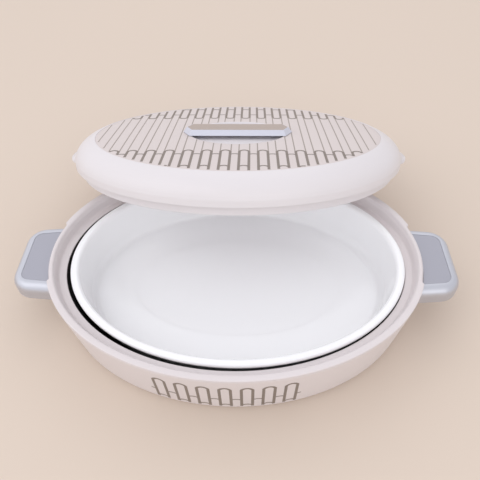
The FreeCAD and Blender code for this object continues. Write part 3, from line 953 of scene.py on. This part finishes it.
@dataclass
class TileOrnament:
    """A common roof-tile ornament: arches in a row, joined by fine lines, on the lid and the casing."""

    pitch: float = 19.5
    side: float = 5.0
    stroke: float = 2.7
    fine: float = 1.15
    fine_side: float = 5.6
    proud: float = 0.07
    lid_arches: int = 14
    lid_centre: float = -1.3
    lid_front: Arch = Arch(-65.0, 3.6, 2.6)
    lid_front_second: Arch = Arch(-107.0, 3.0, 2.2)
    lid_front_link: Arch = Arch(-74.0, 1.8, 2.0)
    lid_front_start: float = -64.4
    lid_front_end: float = -121.0
    lid_back: Arch = Arch(61.0, -2.6, 3.2)
    lid_back_second: Arch = Arch(101.0, 2.0, 2.8)
    lid_back_link: float = 75.6
    lid_back_link_width: float = 2.4
    lid_back_end: float = 119.0
    lid_line_front: float = -64.0
    lid_line_back: float = 62.0
    lid_extra_lines: int = 1
    plate_margin: float = 1.6
    well_margin: float = 0.6
    wall_arches: int = 7
    wall_centre: float = -6.0
    wall_arch: Arch = Arch(51.0, 3.6, 2.8)
    wall_sill: Arch = Arch(10.2, 2.6, 2.2)
    wall_link: Arch = Arch(25.0, 1.8, 2.0)
    wall_foot: float = 8.0
    wall_head: float = 51.4

    def half_link(self, link: Arch, shift: float) -> Stroke:
        """Half of the small arch that joins a tile to its neighbour.

        Args:
            link: the small arch.
            shift: where its middle is, halfway to the neighbour.

        Returns:
            The half on the tile's own side.
        """
        path = bow(self.pitch / 2 - self.side, link)
        return Stroke(tuple((x + shift, y) for x, y in path if x * shift <= 0), link.width)

    def lid_strokes(self) -> tuple[list[Stroke], list[Stroke]]:
        """The lid's motif, in the lid's frame.

        Returns:
            Its bold strokes and its fine ones.
        """
        side, gap = self.side, self.pitch / 2
        bold = [Stroke(bow(side, arch), arch.width) for arch in (self.lid_front, self.lid_back)]
        for x in (-side, side):
            bold.append(Stroke(straight((x, self.lid_front_start), (x, self.lid_front_end)), self.stroke))
            bold.append(Stroke(straight((x, self.lid_back.foot), (x, self.lid_back_end)), self.stroke))
        for arch in (self.lid_front_second, self.lid_back_second):
            bold.append(Stroke(bow(side, arch), arch.width))
        for shift in (-gap, gap):
            bold.append(self.half_link(self.lid_front_link, shift))
            left, right = sorted((shift, shift - math.copysign(gap - side, shift)))
            path = straight((left, self.lid_back_link), (right, self.lid_back_link))
            bold.append(Stroke(path, self.lid_back_link_width))
        fine = []
        for x in (-self.fine_side, self.fine_side):
            fine.append(Stroke(straight((x, self.lid_line_front), (x, self.lid_line_back)), self.fine))
        return bold, fine

    def wall_strokes(self) -> list[Stroke]:
        """The casing's motif.

        Returns:
            Its strokes, as (distance along the wall, height).
        """
        side, gap = self.side, self.pitch / 2
        strokes = [Stroke(bow(side, self.wall_arch), self.wall_arch.width)]
        for x in (-side, side):
            strokes.append(Stroke(straight((x, self.wall_foot), (x, self.wall_head)), self.stroke))
        strokes.append(Stroke(bow(side, self.wall_sill), self.wall_sill.width))
        strokes += [self.half_link(self.wall_link, shift) for shift in (-gap, gap)]
        return strokes

    def on_lid(self, x: float, y: float) -> Point3:
        """A point of the lid's drawing, on the crowned plate."""
        return x, y, crown(x, y) + self.proud

    def on_plate(self, x: float, y: float) -> bool:
        """Whether a point of the lid's drawing is on the plate and off the finger well.

        Args:
            x: the point's place along the length.
            y: the point's place along the width.

        Returns:
            Whether it is.
        """
        plate, well = self.plate_margin, self.well_margin
        inside = (x / (PLATE.half_length - plate)) ** 2 + (y / (PLATE.half_width - plate)) ** 2 < 1.0
        clear = (x / (WELL.half_length + well)) ** 2 + (y / (WELL.half_width + well)) ** 2 > 1.0
        return inside and clear

    def on_wall(self, along: float, height: float) -> Point3:
        """A point of the wall's drawing, on the sloping wall.

        Args:
            along: the point's place along the length, from the drawing's middle.
            height: its height.

        Returns:
            The point, just proud of the wall.
        """
        slope = (SIZES.rim_seam - height) / (SIZES.rim_seam - SIZES.wall_turn)
        inset = SIZES.wall_lean_inset * slope - self.proud
        angle = math.asin((self.wall_centre + along) / (RIM.half_length - inset)) - math.pi / 2
        return (*RIM.at(angle, inset), height)

    @staticmethod
    def laid(name: str, faces: list[list[Point]], place: Callable[[float, float], Point3],
             keep: Callable[[float, float], bool]) -> bpy.types.Object:
        """A print laid on a surface.

        Args:
            name: the piece's name.
            faces: the drawing's faces.
            place: takes a corner of the drawing to the surface.
            keep: says whether a corner is to be drawn. A face needs all of its corners.

        Returns:
            The piece.
        """
        verts: list[Point3] = []
        quads: list[tuple[int, ...]] = []
        for face in faces:
            if all(keep(x, y) for x, y in face):
                quads.append(tuple(range(len(verts), len(verts) + len(face))))
                verts += [place(x, y) for x, y in face]
        return mesh_object(name, verts, quads)

    def print_lid(self, kind: str, strokes: list[Stroke], extra: int, look: bpy.types.Material) -> None:
        """Prints a row of one kind of stroke on the lid's plate.

        Args:
            kind: the kind's name.
            strokes: the motif.
            extra: how many motifs the row has past each end of the arches.
            look: the print.
        """
        first = self.lid_centre - self.pitch * (self.lid_arches - 1) / 2 - extra * self.pitch
        row = row_of("lid_" + kind, strokes, self.lid_arches + 2 * extra, self.pitch, first, look)
        mark = onto_lid(self.laid("lid_print_" + kind, row, self.on_lid, self.on_plate))
        outwards(mark, lid_matrix().to_3x3() @ Vector((0, 0, 1)))
        settle(dress(mark, look), Body.LID, Slot.LID)

    def print_wall(self, look: bpy.types.Material) -> None:
        """Prints the row of arches on the front of the casing.

        Args:
            look: the print.
        """
        first = -self.pitch * (self.wall_arches - 1) / 2
        row = row_of("wall_row", self.wall_strokes(), self.wall_arches, self.pitch, first, look)
        mark = self.laid("wall_print", row, self.on_wall, lambda x, y: True)
        outwards(mark, Vector((0, -1, 0)))
        settle(dress(mark, look), Body.CASING, Slot.CASING)

    def build(self, looks: Looks) -> None:
        """Builds the prints on the lid and the casing.

        Args:
            looks: the materials.
        """
        bold, fine = self.lid_strokes()
        self.print_lid("bold", bold, 0, looks[Look.ORNAMENT])
        self.print_lid("fine", fine, self.lid_extra_lines, looks[Look.LINE])
        self.print_wall(looks[Look.ORNAMENT])


def outwards(piece: bpy.types.Object, normal: Vector) -> None:
    """Turns an open print so that its faces look along a direction.

    Args:
        piece: the print.
        normal: the direction.
    """
    for face in piece.data.polygons:
        if face.normal.dot(normal) < 0:
            face.flip()
    piece.data.update()


NODE_LOOKS = {
    "handle_shell": Look.SILVER,
    "handle_top_plate": Look.INLAY,
    "handle_underside_cover": Look.SILVER,
    "handle_bracket": Look.CASING,
    "handle_screws": Look.STEEL,
    "base_cover": Look.CASING,
    "foot_": Look.RUBBER,
    "base_screws": Look.STEEL,
    "insulation": Look.FOAM,
    "grip_rod": Look.STEEL,
    "lid_grip_bar": Look.BAR,
    "lid_inner_shell": Look.LID,
    "lid_screws": Look.STEEL,
}


def dress_nodes(frame: dict, looks: Looks) -> None:
    """Gives every carried-over node its finish.

    Args:
        frame: the loaded frame.
        looks: the materials.
    """
    for name, node in frame["nodes"].items():
        for part, look in NODE_LOOKS.items():
            if part in name:
                dress(node, looks[look])


@dataclass(frozen=True)
class Lamp:
    """A soft square lamp: its place and size in metres, its power in watts and its tint."""

    name: str
    place: Point3
    power: float
    tint: Colour
    size: float = 1.4

    def build(self, aim: Point3) -> None:
        """Hangs the lamp.

        Args:
            aim: the point that it shines at.
        """
        data = bpy.data.lights.new(self.name, "AREA")
        data.size = self.size
        data.energy = self.power
        data.color = self.tint
        lamp = bpy.data.objects.new(self.name, data)
        lamp.location = self.place
        lamp.rotation_euler = (Vector(aim) - Vector(self.place)).to_track_quat("-Z", "Y").to_euler()
        bpy.context.collection.objects.link(lamp)


@dataclass
class Studio:
    """The floor, the lamps, the sky and the camera.

    The camera's position is in millimetres and its turns are in degrees. The lamps and the floor
    are in metres.
    """

    position: Point3 = (15.5, -345.9, 469.6)
    pitch: float = 47.815
    roll: float = -0.887
    yaw: float = -1.708
    focal_pixels: float = 520.0
    frame_pixels: float = 480.0
    sensor: float = 36.0
    nearest: float = 0.01
    lamps: tuple[Lamp, ...] = (
        Lamp("key", (-1.1, -0.5, 1.5), 3.8, (1.0, 0.99, 0.98)),
        Lamp("fill", (0.5, -1.5, 1.0), 5.2, (1.0, 0.98, 0.96)),
        Lamp("back", (0.1, 1.5, 1.6), 3.5, (1.0, 0.99, 0.99)),
    )
    aim: Point3 = (0.0, 0.05, 0.05)
    sky_colour: Colour = (0.92, 0.92, 0.96)
    sky_left: float = 1.2
    sky_right: float = 0.86
    floor_size: float = 8.0
    floor_drop: float = 0.0002
    floor_colour: Colour = (0.69, 0.588, 0.50)
    floor_roughness: float = 0.9
    floor_gloss: float = 0.1

    def camera(self) -> None:
        """Sets the camera where the photograph was taken from."""
        pitch, roll, yaw = (math.radians(v) for v in (self.pitch, self.roll, self.yaw))
        ahead = Vector((math.sin(yaw) * math.cos(pitch), math.cos(yaw) * math.cos(pitch), -math.sin(pitch)))
        right = ahead.cross(Vector((0, 0, 1))).normalized()
        up = right.cross(ahead)
        turned_right = right * math.cos(roll) + up * math.sin(roll)
        turned_up = up * math.cos(roll) - right * math.sin(roll)
        data = bpy.data.cameras.new("camera")
        data.sensor_width = self.sensor
        data.lens = self.sensor * self.focal_pixels / self.frame_pixels
        data.clip_start = self.nearest
        camera = bpy.data.objects.new("camera", data)
        bpy.context.collection.objects.link(camera)
        turn = Matrix((turned_right, turned_up, -ahead)).transposed().to_4x4()
        camera.matrix_world = Matrix.Translation(Vector(self.position) * MM) @ turn
        bpy.context.scene.camera = camera

    def floor(self) -> None:
        """Lays a wide pale floor under the object."""
        bpy.ops.mesh.primitive_plane_add(size=self.floor_size)
        floor = bpy.context.object
        floor.name = "floor"
        floor.location.z = -self.floor_drop
        material = bpy.data.materials.new("paper_floor")
        material.use_nodes = True
        shader = material.node_tree.nodes["Principled BSDF"]
        shader.inputs["Base Color"].default_value = (*self.floor_colour, 1.0)
        shader.inputs["Roughness"].default_value = self.floor_roughness
        shader.inputs["Specular IOR Level"].default_value = self.floor_gloss
        floor.data.materials.append(material)

    def sky(self) -> None:
        """Lights the object from all round, more from the left than from the right."""
        world = bpy.data.worlds.new("studio")
        world.use_nodes = True
        nodes = world.node_tree.nodes
        links = world.node_tree.links
        sky = nodes["Background"]
        sky.inputs["Color"].default_value = (*self.sky_colour, 1.0)
        place = nodes.new("ShaderNodeTexCoord")
        split = nodes.new("ShaderNodeSeparateXYZ")
        falloff = nodes.new("ShaderNodeMapRange")
        falloff.inputs["From Min"].default_value = -1.0
        falloff.inputs["From Max"].default_value = 1.0
        falloff.inputs["To Min"].default_value = self.sky_left
        falloff.inputs["To Max"].default_value = self.sky_right
        links.new(place.outputs["Generated"], split.inputs["Vector"])
        links.new(split.outputs["X"], falloff.inputs["Value"])
        links.new(falloff.outputs["Result"], sky.inputs["Strength"])
        bpy.context.scene.world = world

    def build(self) -> None:
        """Builds the studio."""
        self.floor()
        self.camera()
        for lamp in self.lamps:
            lamp.build(self.aim)
        self.sky()
        bpy.context.scene.view_settings.view_transform = "Standard"


def main() -> None:
    """Builds the looks round the frame."""
    logging.basicConfig(level=logging.INFO)
    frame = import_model()
    group = moulded_group()
    looks = {look: finish.build(group) for look, finish in FINISHES.items()}
    dress_nodes(frame, looks)
    Casing().build(looks)
    ServingDish().build(looks)
    Lid().build(looks)
    TileOrnament().build(looks)
    Studio().build()


if __name__ == "__main__":
    main()
